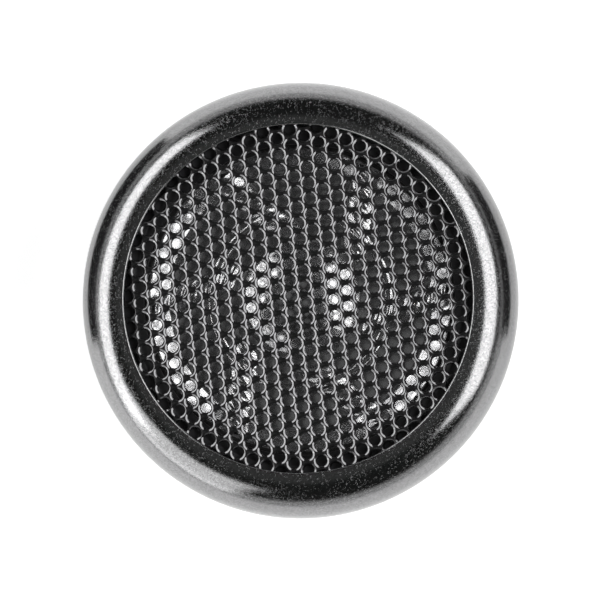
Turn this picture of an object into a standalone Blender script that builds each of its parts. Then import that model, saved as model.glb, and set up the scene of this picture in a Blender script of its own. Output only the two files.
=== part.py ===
"""Car tweeter with a screw-on clamp ring, every piece in its assembled place.

The tweeter lies on its back: +Z is the sound axis and points out of the grille, and the origin is the
middle of the flat back. Lengths are in metres. Heights are measured from the back.
"""

import math

import bmesh
import bpy
from mathutils import Matrix, Vector

# Clearances
GAP = 0.0003  # between pieces that touch or run past each other
GLUE_GAP = 0.0001  # between the thin pieces of the diaphragm
MERGE = 1e-6

# Facets of a full turn
FINE_TURN = 64
TURN = 48
SMALL_TURN = 24

# Bezel: a rounded ring that overhangs the barrel
BEZEL_RADIUS = 0.0240
BEZEL_BOTTOM = 0.0130
BEZEL_TOP = 0.0200
BEZEL_ROUND = 0.00487
BEZEL_OPENING = 0.01885
BEZEL_LIP = 0.00085
BEZEL_BORE = 0.01975
BEZEL_SKIRT = 0.0013

# Grille: a shallow perforated dome with a flat rim
GRILLE_RADIUS = 0.0194
GRILLE_RIM_INSIDE = 0.0187
GRILLE_RISE = 0.0010
GRILLE_SHEET = 0.0005
GRILLE_RIM_HEIGHT = 0.0184

# Barrel: the threaded cup that goes through the panel
BARREL_RADIUS = 0.0198
BARREL_BORE = 0.0186
BARREL_FLOOR = 0.0022
BARREL_TOP = 0.0144
BARREL_BEVEL = 0.0006
FLANGE_THICKNESS = 0.0014

# Clamp: gasket, washer and nut round the barrel
GASKET_RADIUS = 0.0225
GASKET_THICKNESS = 0.0007
CLAMP_RADIUS = 0.0225
WASHER_THICKNESS = 0.0009
NUT_HEIGHT = 0.0043
NUT_FLUTES = 12
NUT_FLUTE_RADIUS = 0.0014

# Chassis: the plate inside the barrel that carries the motor and the diaphragm
CHASSIS_RADIUS = 0.0183
CHASSIS_FLANGE_RADIUS = 0.0194
CHASSIS_FLANGE = 0.0008
CHASSIS_RECESS = 0.01775
CHASSIS_BOTTOM = 0.0106
CHASSIS_SEAT = 0.0131
POST_CIRCLE = 0.0144
POST_RADIUS = 0.0024
POST_ANGLES = (90, 210, 330)
POST_BORE_DEPTH = 0.0061

# Screws that come up through the back into the posts
SCREW_HEAD_RADIUS = 0.0018
SCREW_HEAD_HEIGHT = 0.0009
SCREW_RADIUS = 0.0008
SCREW_LENGTH = 0.0078
COUNTERBORE_DEPTH = 0.0012
SCREW_DRIVE_RADIUS = 0.0007
SCREW_DRIVE_DEPTH = 0.0005

# Motor: cup, disc magnet and pole plate
YOKE_RADIUS = 0.0094
YOKE_BORE = 0.00755
YOKE_BOTTOM = 0.0046
YOKE_FLOOR = 0.0016
YOKE_TOP = 0.0126
MAGNET_RADIUS = 0.0059
MAGNET_HEIGHT = 0.0042
POLE_RADIUS = 0.0061
DOME_FELT_RADIUS = 0.0042
DOME_FELT_THICKNESS = 0.0005
REAR_FELT_RADIUS = 0.0085
REAR_FELT_THICKNESS = 0.0018

# Voice coil and diaphragm
FORMER_BORE = 0.00645
FORMER_WALL = 0.00015
FORMER_HEIGHT = 0.0033
FORMER_TOP = 0.0140
WINDING_WALL = 0.0005
WINDING_HEIGHT = 0.0020
FILM = 0.0002
DOME_RADIUS = 0.0063
DOME_RISE = 0.0018
DOME_SKIRT = 0.0008
SURROUND_FLAT = 0.0138
SURROUND_SLOPE_END = 0.0166
SURROUND_RADIUS = 0.0174
SURROUND_RISE = 0.0010

# Rings that hold the rim of the diaphragm and the grille
RIM_RING_WALL = 0.0007
RIM_RING_HEIGHT = 0.0016
FOAM_WALL = 0.0008
FOAM_THICKNESS = 0.0008
CLAMP_RING_TONGUE = 0.0170
CLAMP_RING_WALL = 0.0012

# Connector socket in the back of the barrel, and its blades
SOCKET_HALF_WIDTH = 0.0074
SOCKET_OUTER_SIDE = -0.0166
SOCKET_INNER_SIDE = -0.0102
SOCKET_BOTTOM = 0.0003
SOCKET_TOP = 0.0076
SOCKET_WALL = 0.0009
BLADE_SPREAD = 0.0039
BLADE_WIDTH = 0.0028
BLADE_THICKNESS = 0.0005
BLADE_TIP = 0.0011
BLADE_TAIL = 0.0089
BLADE_HOLE = 0.0006

# Wiring inside
TAB_ANGLES = (60, 180)
TAB_CIRCLE = 0.0147
TAB_THICKNESS = 0.0004
TAB_WIDTH = 0.0020
TAB_BOTTOM = 0.0096
TAB_TOP = 0.0135
CAPACITOR_ANGLE = 30
CAPACITOR_CIRCLE = 0.0142
CAPACITOR_RADIUS = 0.0025
CAPACITOR_LENGTH = 0.0110
CAPACITOR_HEIGHT = 0.0055
WIRE = 0.0007
LEAD = 0.00024
LEAD_HEIGHT = 0.01345

# Colour, roughness and metallic value of each finish
FINISHES = {
    "pearl_chrome": ((0.22, 0.22, 0.22), 0.28, 1.0),
    "black_enamel": ((0.13, 0.13, 0.132), 0.17, 0.95),
    "black_plastic": ((0.02, 0.02, 0.022), 0.55, 0.0),
    "grey_plastic": ((0.10, 0.10, 0.105), 0.50, 0.0),
    "foam": ((0.03, 0.03, 0.03), 0.95, 0.0),
    "felt": ((0.30, 0.30, 0.29), 0.95, 0.0),
    "film": ((0.80, 0.80, 0.81), 0.21, 1.0),
    "copper": ((0.72, 0.33, 0.18), 0.30, 1.0),
    "kapton": ((0.55, 0.28, 0.05), 0.30, 0.0),
    "zinc_steel": ((0.62, 0.63, 0.66), 0.30, 1.0),
    "nickel": ((0.75, 0.72, 0.66), 0.22, 1.0),
    "tinned_brass": ((0.78, 0.74, 0.60), 0.30, 1.0),
    "red_wire": ((0.45, 0.02, 0.02), 0.45, 0.0),
    "black_wire": ((0.02, 0.02, 0.02), 0.45, 0.0),
    "capacitor_sleeve": ((0.03, 0.06, 0.20), 0.35, 0.0),
}


def clear_scene():
    for old in list(bpy.data.objects):
        bpy.data.objects.remove(old, do_unlink=True)


def finished(obj, finish):
    """Gives a piece a material of its own."""
    colour, roughness, metallic = FINISHES[finish]
    material = bpy.data.materials.new(obj.name + "_" + finish)
    material.use_nodes = True
    shader = material.node_tree.nodes["Principled BSDF"]
    shader.inputs["Base Color"].default_value = (*colour, 1.0)
    shader.inputs["Roughness"].default_value = roughness
    shader.inputs["Metallic"].default_value = metallic
    obj.data.materials.append(material)
    return obj


def from_bmesh(name, bm, parent=None):
    bmesh.ops.remove_doubles(bm, verts=bm.verts, dist=MERGE)
    bmesh.ops.recalc_face_normals(bm, faces=bm.faces)
    mesh = bpy.data.meshes.new(name)
    bm.to_mesh(mesh)
    bm.free()
    mesh.shade_smooth()
    mesh.set_sharp_from_angle(angle=math.radians(30))
    obj = bpy.data.objects.new(name, mesh)
    bpy.context.scene.collection.objects.link(obj)
    obj.parent = parent
    return obj


def spin_outline(bm, outline, segments):
    """Turns a closed outline of (radius, height) pairs about Z. An edge along the axis is left out."""
    corners = [bm.verts.new((radius, 0.0, height)) for radius, height in outline]
    edges = []
    for start, end in zip(corners, corners[1:] + corners[:1]):
        if start.co.x > MERGE or end.co.x > MERGE:
            edges.append(bm.edges.new((start, end)))
    bmesh.ops.spin(
        bm,
        geom=corners + edges,
        cent=(0.0, 0.0, 0.0),
        axis=(0.0, 0.0, 1.0),
        angle=math.tau,
        steps=segments,
        use_merge=True,
        use_duplicate=False,
    )


def turned(name, outline, finish, bottom=0.0, segments=TURN, parent=None):
    """A turned piece. Its outline starts at height 0, which stands at the height called bottom."""
    bm = bmesh.new()
    spin_outline(bm, outline, segments)
    obj = from_bmesh(name, bm, parent)
    obj.location.z = bottom
    return finished(obj, finish)


def ring_outline(inner, outer, height, bevel=0.0):
    """The section of a flat ring or disc, with its outer corners bevelled."""
    return [
        (inner, 0.0),
        (outer - bevel, 0.0),
        (outer, bevel),
        (outer, height - bevel),
        (outer - bevel, height),
        (inner, height),
    ] if bevel else [(inner, 0.0), (outer, 0.0), (outer, height), (inner, height)]


def arc(centre, radius, start, end, steps):
    """Points on an arc of a section, from one angle to another in degrees."""
    points = []
    for step in range(steps + 1):
        angle = math.radians(start + (end - start) * step / steps)
        points.append((centre[0] + radius * math.cos(angle), centre[1] + radius * math.sin(angle)))
    return points


def cap_height(radius, rise, at):
    """Height above its edge of a spherical cap of that edge radius and rise."""
    sphere = (radius * radius + rise * rise) / (2 * rise)
    return math.sqrt(sphere * sphere - at * at) - (sphere - rise)


def cap_points(radius, rise, base, steps):
    """A spherical cap's section from its edge to the axis."""
    points = []
    for step in range(steps + 1):
        at = radius * (1 - step / steps)
        points.append((at, base + cap_height(radius, rise, at)))
    return points


def block(bm, low, high, matrix=Matrix.Identity(4)):
    """Adds a box between two corners."""
    size = Vector(high) - Vector(low)
    middle = (Vector(high) + Vector(low)) / 2
    place = matrix @ Matrix.Translation(middle) @ Matrix.Diagonal((*size, 1.0))
    bmesh.ops.create_cube(bm, size=1.0, matrix=place)


def rod(bm, x, y, bottom, top, radius, segments=SMALL_TURN):
    """Adds an upright cylinder."""
    place = Matrix.Translation((x, y, (bottom + top) / 2))
    bmesh.ops.create_cone(
        bm,
        cap_ends=True,
        segments=segments,
        radius1=radius,
        radius2=radius,
        depth=top - bottom,
        matrix=place,
    )


def tool_object(name, bm):
    """A shape that only cuts or adds to a piece."""
    mesh = bpy.data.meshes.new(name)
    bmesh.ops.recalc_face_normals(bm, faces=bm.faces)
    bm.to_mesh(mesh)
    bm.free()
    tool = bpy.data.objects.new(name, mesh)
    bpy.context.scene.collection.objects.link(tool)
    tool.hide_render = True
    tool.display_type = "WIRE"
    return tool


def combine(obj, tool, operation):
    modifier = obj.modifiers.new(operation.lower(), "BOOLEAN")
    modifier.operation = operation
    modifier.solver = "EXACT"
    modifier.object = tool


def on_circle(radius, angle):
    turn = math.radians(angle)
    return radius * math.cos(turn), radius * math.sin(turn)


def through_points(route, spacing):
    """Points along a smooth curve through the route's points."""
    knots = [Vector(point) for point in route]
    knots = [2 * knots[0] - knots[1]] + knots + [2 * knots[-1] - knots[-2]]
    points = [knots[1]]
    for before, start, end, after in zip(knots, knots[1:], knots[2:], knots[3:]):
        steps = max(2, round((end - start).length / spacing))
        for step in range(1, steps + 1):
            t = step / steps
            straight = 2 * start + (end - before) * t
            bend = (2 * before - 5 * start + 4 * end - after) * t**2
            twist = (3 * start - before - 3 * end + after) * t**3
            points.append((straight + bend + twist) / 2)
    return points


def wire(name, route, diameter, finish, parent=None):
    """A round wire along a route."""
    curve = bpy.data.curves.new(name, "CURVE")
    curve.dimensions = "3D"
    curve.bevel_depth = diameter / 2
    curve.bevel_resolution = 2
    curve.use_fill_caps = True
    points = through_points(route, 2.5 * diameter)
    spline = curve.splines.new("POLY")
    spline.points.add(len(points) - 1)
    for target, point in zip(spline.points, points):
        target.co = (*point, 1.0)
    obj = bpy.data.objects.new(name, curve)
    bpy.context.scene.collection.objects.link(obj)
    obj.parent = parent
    return finished(obj, finish)


def make_bezel():
    """The rounded trim ring. Its lip holds the grille and its skirt covers the barrel's flange."""
    top = BEZEL_TOP - BEZEL_BOTTOM
    round_centre = (BEZEL_RADIUS - BEZEL_ROUND, top - BEZEL_ROUND)
    edge = 0.00025
    flange_pocket = BEZEL_RADIUS - BEZEL_SKIRT
    pocket_top = BARREL_TOP + GAP - BEZEL_BOTTOM
    outline = [(flange_pocket, 0.0), (BEZEL_RADIUS, 0.0)]
    outline += arc(round_centre, BEZEL_ROUND, 0, 90, 9)
    outline += arc((BEZEL_OPENING + edge, top - edge), edge, 90, 180, 3)
    outline += [
        (BEZEL_OPENING, top - BEZEL_LIP),
        (BEZEL_BORE, top - BEZEL_LIP),
        (BEZEL_BORE, pocket_top),
        (flange_pocket, pocket_top),
    ]
    turned("bezel_ring", outline, "pearl_chrome", BEZEL_BOTTOM, FINE_TURN)


def make_grille():
    """The perforated sheet as a plain shallow dome with a flat rim."""
    steps = 6
    outline = [(GRILLE_RADIUS, 0.0), (GRILLE_RADIUS, GRILLE_SHEET)]
    outline += cap_points(GRILLE_RIM_INSIDE, GRILLE_RISE, GRILLE_SHEET, steps)
    outline += reversed(cap_points(GRILLE_RIM_INSIDE, GRILLE_RISE, 0.0, steps))
    turned("grille", outline, "black_enamel", GRILLE_RIM_HEIGHT)


def make_barrel():
    """The cup. Its back has a hole for the socket and three counterbored screw holes."""
    flange_bottom = BARREL_TOP - FLANGE_THICKNESS
    flange_radius = BEZEL_RADIUS - BEZEL_SKIRT - GAP
    outline = [
        (0.0, 0.0),
        (BARREL_RADIUS - BARREL_BEVEL, 0.0),
        (BARREL_RADIUS, BARREL_BEVEL),
        (BARREL_RADIUS, flange_bottom),
        (flange_radius, flange_bottom),
        (flange_radius, BARREL_TOP),
        (BARREL_BORE, BARREL_TOP),
        (BARREL_BORE, BARREL_FLOOR),
        (0.0, BARREL_FLOOR),
    ]
    barrel = turned("threaded_barrel", outline, "black_plastic")
    wells = bmesh.new()
    holes = bmesh.new()
    block(
        wells,
        (-SOCKET_HALF_WIDTH - GAP, SOCKET_OUTER_SIDE - GAP, -BARREL_FLOOR),
        (SOCKET_HALF_WIDTH + GAP, SOCKET_INNER_SIDE + GAP, 2 * BARREL_FLOOR),
    )
    for angle in POST_ANGLES:
        x, y = on_circle(POST_CIRCLE, angle)
        rod(wells, x, y, -COUNTERBORE_DEPTH, COUNTERBORE_DEPTH, SCREW_HEAD_RADIUS + GAP)
        rod(holes, x, y, COUNTERBORE_DEPTH / 2, BARREL_FLOOR * 1.5, SCREW_RADIUS + GAP)
    combine(barrel, tool_object("barrel_well_cutter", wells), "DIFFERENCE")
    combine(barrel, tool_object("barrel_hole_cutter", holes), "DIFFERENCE")


def make_chassis():
    """The plate with a bore for the motor, a seat for the diaphragm and three screw posts."""
    flange_bottom = BARREL_TOP + GAP
    outline = [
        (YOKE_RADIUS + GAP, CHASSIS_BOTTOM),
        (CHASSIS_RADIUS, CHASSIS_BOTTOM),
        (CHASSIS_RADIUS, flange_bottom),
        (CHASSIS_FLANGE_RADIUS, flange_bottom),
        (CHASSIS_FLANGE_RADIUS, flange_bottom + CHASSIS_FLANGE),
        (CHASSIS_RECESS, flange_bottom + CHASSIS_FLANGE),
        (CHASSIS_RECESS, CHASSIS_SEAT),
        (YOKE_RADIUS + GAP, CHASSIS_SEAT),
    ]
    chassis = turned("chassis", outline, "black_plastic")
    post_bottom = BARREL_FLOOR + GAP
    posts = bmesh.new()
    holes = bmesh.new()
    for angle in POST_ANGLES:
        x, y = on_circle(POST_CIRCLE, angle)
        rod(posts, x, y, post_bottom, (CHASSIS_BOTTOM + CHASSIS_SEAT) / 2, POST_RADIUS)
        rod(holes, x, y, post_bottom - GAP, post_bottom + POST_BORE_DEPTH, SCREW_RADIUS + GAP)
    for angle in TAB_ANGLES:
        turn = Matrix.Rotation(math.radians(angle), 4, "Z")
        reach = TAB_THICKNESS / 2 + GAP
        side = TAB_WIDTH / 2 + GAP
        low = (TAB_CIRCLE - reach, -side, CHASSIS_BOTTOM - GAP)
        high = (TAB_CIRCLE + reach, side, CHASSIS_SEAT + GAP)
        block(holes, low, high, turn)
    combine(chassis, tool_object("chassis_posts", posts), "UNION")
    combine(chassis, tool_object("chassis_cutter", holes), "DIFFERENCE")


def make_screws():
    """Three pan-head screws with a socket in the head, driven up from the back."""
    head_top = COUNTERBORE_DEPTH - GAP
    head_bottom = head_top - SCREW_HEAD_HEIGHT
    outline = [
        (0.0, SCREW_DRIVE_DEPTH),
        (SCREW_DRIVE_RADIUS, SCREW_DRIVE_DEPTH),
        (SCREW_DRIVE_RADIUS, 0.0),
        (SCREW_HEAD_RADIUS, 0.0),
        (SCREW_HEAD_RADIUS, SCREW_HEAD_HEIGHT),
        (SCREW_RADIUS, SCREW_HEAD_HEIGHT),
        (SCREW_RADIUS, SCREW_LENGTH - SCREW_RADIUS),
        (0.0, SCREW_LENGTH),
    ]
    for number, angle in enumerate(POST_ANGLES, 1):
        name = "housing_screw_" + str(number)
        screw = turned(name, outline, "zinc_steel", head_bottom, SMALL_TURN)
        screw.location.x, screw.location.y = on_circle(POST_CIRCLE, angle)


def make_motor():
    """The steel cup, the disc magnet in it, the pole plate on that, and the two felts."""
    yoke = [
        (0.0, 0.0),
        (YOKE_RADIUS, 0.0),
        (YOKE_RADIUS, YOKE_TOP - YOKE_BOTTOM),
        (YOKE_BORE, YOKE_TOP - YOKE_BOTTOM),
        (YOKE_BORE, YOKE_FLOOR),
        (0.0, YOKE_FLOOR),
    ]
    turned("yoke_cup", yoke, "zinc_steel", YOKE_BOTTOM)
    magnet_bottom = YOKE_BOTTOM + YOKE_FLOOR + GAP
    bevel = GAP
    magnet = ring_outline(0.0, MAGNET_RADIUS, MAGNET_HEIGHT, bevel)
    turned("magnet_disc", magnet, "nickel", magnet_bottom)
    pole_bottom = magnet_bottom + MAGNET_HEIGHT + GAP
    pole = ring_outline(0.0, POLE_RADIUS, YOKE_TOP - pole_bottom)
    turned("pole_plate", pole, "zinc_steel", pole_bottom)
    dome_felt = ring_outline(0.0, DOME_FELT_RADIUS, DOME_FELT_THICKNESS)
    turned("dome_felt", dome_felt, "felt", YOKE_TOP + GAP)
    rear_felt = ring_outline(0.0, REAR_FELT_RADIUS, REAR_FELT_THICKNESS)
    turned("rear_felt", rear_felt, "felt", BARREL_FLOOR + GAP)


def make_voice_coil():
    """The pieces that move with the sound, under an empty on the sound axis."""
    carriage = bpy.data.objects.new("voice_coil_carriage", None)
    bpy.context.scene.collection.objects.link(carriage)
    carriage.location.z = FORMER_TOP
    former_radius = FORMER_BORE + FORMER_WALL
    former = ring_outline(FORMER_BORE, former_radius, FORMER_HEIGHT)
    turned("coil_former", former, "kapton", -FORMER_HEIGHT, parent=carriage)
    winding_bore = former_radius + GLUE_GAP
    winding = ring_outline(winding_bore, winding_bore + WINDING_WALL, WINDING_HEIGHT)
    winding_bottom = GLUE_GAP - FORMER_HEIGHT
    turned("coil_winding", winding, "copper", winding_bottom, parent=carriage)
    steps = 6
    skirt = DOME_RADIUS + DOME_SKIRT
    dome = [(skirt, 0.0), (skirt, FILM)]
    dome += cap_points(DOME_RADIUS, DOME_RISE, FILM, steps)
    dome += reversed(cap_points(DOME_RADIUS, DOME_RISE, 0.0, steps))
    turned("dome", dome, "film", GLUE_GAP, parent=carriage)


def make_surround():
    """The outer part of the diaphragm: flat by the dome, then turned up to its rim."""
    inside = DOME_RADIUS + DOME_SKIRT + GLUE_GAP
    lower = [
        (inside, 0.0),
        (SURROUND_FLAT, 0.0),
        (SURROUND_SLOPE_END, SURROUND_RISE),
        (SURROUND_RADIUS, SURROUND_RISE),
    ]
    upper = [(radius, height + FILM) for radius, height in reversed(lower)]
    turned("surround", lower + upper, "film", FORMER_TOP + GLUE_GAP)


def make_rim_rings():
    """The ring under the diaphragm's rim, the foam on it and the ring that holds the grille."""
    ring_outer = CHASSIS_RECESS - GAP
    ring = ring_outline(ring_outer - RIM_RING_WALL, ring_outer, RIM_RING_HEIGHT)
    turned("diaphragm_ring", ring, "grey_plastic", CHASSIS_SEAT + GAP)
    rim_top = FORMER_TOP + GLUE_GAP + SURROUND_RISE + FILM
    foam = ring_outline(SURROUND_RADIUS - FOAM_WALL, SURROUND_RADIUS, FOAM_THICKNESS)
    turned("rim_foam", foam, "foam", rim_top + GLUE_GAP)
    bottom = BARREL_TOP + 2 * GAP + CHASSIS_FLANGE
    tongue = rim_top + GLUE_GAP + FOAM_THICKNESS + GAP - bottom
    top = GRILLE_RIM_HEIGHT - GAP - bottom
    outer = CHASSIS_FLANGE_RADIUS
    inner = outer - CLAMP_RING_WALL
    clamp_ring = [
        (inner, 0.0),
        (outer, 0.0),
        (outer, top),
        (inner, top),
        (CLAMP_RING_TONGUE, tongue + CHASSIS_FLANGE),
        (CLAMP_RING_TONGUE, tongue),
        (inner, tongue),
    ]
    turned("grille_retainer", clamp_ring, "black_plastic", bottom)


def make_clamp():
    """The foam gasket under the bezel, and the washer and nut that pull it against the panel."""
    inner = BARREL_RADIUS + GAP
    gasket_bottom = BEZEL_BOTTOM - GAP - GASKET_THICKNESS
    gasket = ring_outline(inner, GASKET_RADIUS, GASKET_THICKNESS)
    turned("panel_gasket", gasket, "foam", gasket_bottom)
    carriage = bpy.data.objects.new("clamp_carriage", None)
    bpy.context.scene.collection.objects.link(carriage)
    carriage.location.z = gasket_bottom - GAP
    washer = ring_outline(inner, CLAMP_RADIUS, WASHER_THICKNESS)
    turned("pressure_washer", washer, "zinc_steel", -WASHER_THICKNESS, parent=carriage)
    nut_bottom = -WASHER_THICKNESS - GAP - NUT_HEIGHT
    nut_outline = ring_outline(inner, CLAMP_RADIUS, NUT_HEIGHT, BARREL_BEVEL)
    nut = turned("clamp_nut", nut_outline, "black_plastic", nut_bottom, parent=carriage)
    flutes = bmesh.new()
    for number in range(NUT_FLUTES):
        x, y = on_circle(CLAMP_RADIUS + NUT_FLUTE_RADIUS / 2, 360 * number / NUT_FLUTES)
        rod(flutes, x, y, -NUT_HEIGHT, 2 * NUT_HEIGHT, NUT_FLUTE_RADIUS)
    cutter = tool_object("nut_cutter", flutes)
    cutter.parent = nut
    combine(nut, cutter, "DIFFERENCE")


def make_socket():
    """The connector shroud in the barrel's back and the two blades through its inner wall."""
    bm = bmesh.new()
    block(
        bm,
        (-SOCKET_HALF_WIDTH, SOCKET_OUTER_SIDE, SOCKET_BOTTOM),
        (SOCKET_HALF_WIDTH, SOCKET_INNER_SIDE, SOCKET_TOP),
    )
    socket = finished(from_bmesh("connector_socket", bm), "grey_plastic")
    hollow = bmesh.new()
    slots = bmesh.new()
    cavity = SOCKET_HALF_WIDTH - SOCKET_WALL
    block(
        hollow,
        (-cavity, SOCKET_OUTER_SIDE + SOCKET_WALL, -SOCKET_TOP),
        (cavity, SOCKET_INNER_SIDE - SOCKET_WALL, SOCKET_TOP - SOCKET_WALL),
    )
    middle = (SOCKET_OUTER_SIDE + SOCKET_INNER_SIDE) / 2
    slot = BLADE_THICKNESS / 2 + GLUE_GAP
    half = BLADE_WIDTH / 2 + GLUE_GAP
    for side in (-BLADE_SPREAD, BLADE_SPREAD):
        low = (side - half, middle - slot, SOCKET_TOP - 2 * SOCKET_WALL)
        high = (side + half, middle + slot, SOCKET_TOP + SOCKET_WALL)
        block(slots, low, high)
    combine(socket, tool_object("socket_hollow_cutter", hollow), "DIFFERENCE")
    combine(socket, tool_object("socket_slot_cutter", slots), "DIFFERENCE")
    make_blade("negative_blade", -BLADE_SPREAD, middle)
    make_blade("positive_blade", BLADE_SPREAD, middle)


def make_blade(name, x, y):
    """A flat upright blade with a bevelled tip and a locking hole. Its origin is its soldered end."""
    half = BLADE_WIDTH / 2
    tip = BLADE_TIP - BLADE_TAIL
    chamfer = half / 2
    outline = [
        (-half, 0.0),
        (-half, tip + chamfer),
        (-half + chamfer, tip),
        (half - chamfer, tip),
        (half, tip + chamfer),
        (half, 0.0),
    ]
    bm = bmesh.new()
    corners = [bm.verts.new((across, -BLADE_THICKNESS / 2, up)) for across, up in outline]
    lifted = bmesh.ops.extrude_face_region(bm, geom=[bm.faces.new(corners)])
    moved = [item for item in lifted["geom"] if isinstance(item, bmesh.types.BMVert)]
    bmesh.ops.translate(bm, verts=moved, vec=(0.0, BLADE_THICKNESS, 0.0))
    blade = finished(from_bmesh(name, bm), "tinned_brass")
    blade.location = (x, y, BLADE_TAIL)
    hole = bmesh.new()
    rod(hole, 0.0, 0.0, -BLADE_THICKNESS, BLADE_THICKNESS, BLADE_HOLE, 16)
    bmesh.ops.rotate(hole, verts=hole.verts, matrix=Matrix.Rotation(math.radians(90), 3, "X"))
    bmesh.ops.translate(hole, verts=hole.verts, vec=(0.0, 0.0, tip + BLADE_WIDTH))
    cutter = tool_object(name + "_cutter", hole)
    cutter.parent = blade
    combine(blade, cutter, "DIFFERENCE")


def make_tabs_and_leads():
    """The solder tabs through the chassis and the fine leads from the coil to them."""
    for name, angle in zip(("positive", "negative"), TAB_ANGLES):
        turn = Matrix.Rotation(math.radians(angle), 4, "Z")
        bm = bmesh.new()
        block(
            bm,
            (TAB_CIRCLE - TAB_THICKNESS / 2, -TAB_WIDTH / 2, TAB_BOTTOM),
            (TAB_CIRCLE + TAB_THICKNESS / 2, TAB_WIDTH / 2, TAB_TOP),
            turn,
        )
        finished(from_bmesh(name + "_solder_tab", bm), "tinned_brass")
        start = YOKE_BORE + GAP
        end = TAB_CIRCLE - TAB_THICKNESS / 2 - GAP
        route = []
        for step in range(6):
            share = step / 5
            radius = start + (end - start) * share
            route.append((*on_circle(radius, angle - 30 * (1 - share) ** 2), LEAD_HEIGHT))
        wire(name + "_coil_lead", route, LEAD, "copper")


def make_capacitor_and_wires():
    """The series capacitor in the barrel and the wires from the blades to the solder tabs."""
    turn = Matrix.Rotation(math.radians(CAPACITOR_ANGLE), 4, "Z")
    half = CAPACITOR_LENGTH / 2
    groove = CAPACITOR_RADIUS * 0.92
    bevel = CAPACITOR_RADIUS * 0.16
    outline = [
        (0.0, -half),
        (CAPACITOR_RADIUS - bevel, -half),
        (CAPACITOR_RADIUS, bevel - half),
        (CAPACITOR_RADIUS, half - 5 * bevel),
        (groove, half - 4 * bevel),
        (CAPACITOR_RADIUS, half - 3 * bevel),
        (CAPACITOR_RADIUS, half - bevel),
        (CAPACITOR_RADIUS - bevel, half),
        (0.0, half),
    ]
    capacitor = turned("crossover_capacitor", outline, "capacitor_sleeve", 0.0, SMALL_TURN)
    lying = turn @ Matrix.Translation((CAPACITOR_CIRCLE, 0.0, CAPACITOR_HEIGHT))
    capacitor.matrix_world = lying @ Matrix.Rotation(math.radians(-90), 4, "X")

    blade_y = (SOCKET_OUTER_SIDE + SOCKET_INNER_SIDE) / 2
    above_blade = BLADE_TAIL + GAP + WIRE / 2
    beside_motor = (YOKE_RADIUS + POST_CIRCLE - POST_RADIUS) / 2
    reach = half + GAP + WIRE / 2
    near_end = turn @ Vector((CAPACITOR_CIRCLE, -reach, CAPACITOR_HEIGHT))
    far_end = turn @ Vector((CAPACITOR_CIRCLE, reach, CAPACITOR_HEIGHT))
    tab_foot = TAB_BOTTOM - GAP - WIRE / 2
    positive_input = [
        (BLADE_SPREAD, blade_y, above_blade),
        (*on_circle(beside_motor, 310), above_blade),
        (*on_circle(beside_motor, 335), CAPACITOR_HEIGHT + WIRE),
        tuple(near_end),
    ]
    positive_output = [
        tuple(far_end),
        (*on_circle(POST_CIRCLE, TAB_ANGLES[0] + 2), (CAPACITOR_HEIGHT + tab_foot) / 2),
        (*on_circle(TAB_CIRCLE, TAB_ANGLES[0]), tab_foot),
    ]
    negative = [
        (-BLADE_SPREAD, blade_y, above_blade),
        (*on_circle(beside_motor, 230), above_blade),
        (*on_circle(beside_motor, 205), above_blade - WIRE),
        (*on_circle(TAB_CIRCLE, 190), above_blade - 2 * WIRE),
        (*on_circle(TAB_CIRCLE, TAB_ANGLES[1]), tab_foot),
    ]
    wire("positive_input_wire", positive_input, WIRE, "red_wire")
    wire("positive_output_wire", positive_output, WIRE, "red_wire")
    wire("negative_wire", negative, WIRE, "black_wire")


def main():
    clear_scene()
    make_bezel()
    make_grille()
    make_rim_rings()
    make_surround()
    make_voice_coil()
    make_motor()
    make_chassis()
    make_tabs_and_leads()
    make_barrel()
    make_screws()
    make_clamp()
    make_socket()
    make_capacitor_and_wires()


main()
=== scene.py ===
"""The looks of a car tweeter: chrome bezel, perforated grille, ribbed film diaphragm and threaded barrel.

Lengths are in metres. +Z is the sound axis and the tweeter lies on its flat back.
"""

import math

import bmesh
import bpy
from bpy.props import FloatProperty, FloatVectorProperty, IntProperty, PointerProperty
from mathutils import Matrix, Vector


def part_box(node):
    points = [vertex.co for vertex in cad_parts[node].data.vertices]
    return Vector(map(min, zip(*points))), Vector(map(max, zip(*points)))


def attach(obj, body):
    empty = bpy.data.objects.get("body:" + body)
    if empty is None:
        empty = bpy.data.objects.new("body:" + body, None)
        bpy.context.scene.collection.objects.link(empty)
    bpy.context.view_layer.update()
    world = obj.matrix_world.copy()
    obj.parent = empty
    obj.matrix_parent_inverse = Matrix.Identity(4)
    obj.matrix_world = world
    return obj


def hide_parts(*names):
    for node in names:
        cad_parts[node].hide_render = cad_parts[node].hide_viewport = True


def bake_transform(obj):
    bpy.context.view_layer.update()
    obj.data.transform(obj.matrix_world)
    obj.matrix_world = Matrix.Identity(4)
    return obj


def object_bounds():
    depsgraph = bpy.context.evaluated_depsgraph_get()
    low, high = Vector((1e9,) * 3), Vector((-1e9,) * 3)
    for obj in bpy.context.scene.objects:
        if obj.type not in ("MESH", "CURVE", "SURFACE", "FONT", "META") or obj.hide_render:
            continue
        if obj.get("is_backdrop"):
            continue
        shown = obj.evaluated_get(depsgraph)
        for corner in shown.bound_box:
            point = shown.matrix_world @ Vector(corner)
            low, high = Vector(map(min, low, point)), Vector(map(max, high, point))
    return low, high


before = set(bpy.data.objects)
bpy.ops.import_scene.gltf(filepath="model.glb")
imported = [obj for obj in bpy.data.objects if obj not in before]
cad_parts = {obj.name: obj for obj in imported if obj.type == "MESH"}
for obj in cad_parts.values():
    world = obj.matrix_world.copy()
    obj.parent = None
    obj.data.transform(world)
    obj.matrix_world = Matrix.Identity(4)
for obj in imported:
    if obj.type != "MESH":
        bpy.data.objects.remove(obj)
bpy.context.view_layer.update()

bl_info = {
    "name": "Car Tweeter",
    "version": (1, 0, 0),
    "blender": (4, 5, 0),
    "location": "View3D > Sidebar > Tweeter",
    "description": "Builds the detailed surfaces of a car tweeter round its CAD frame",
    "category": "Object",
}

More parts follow.
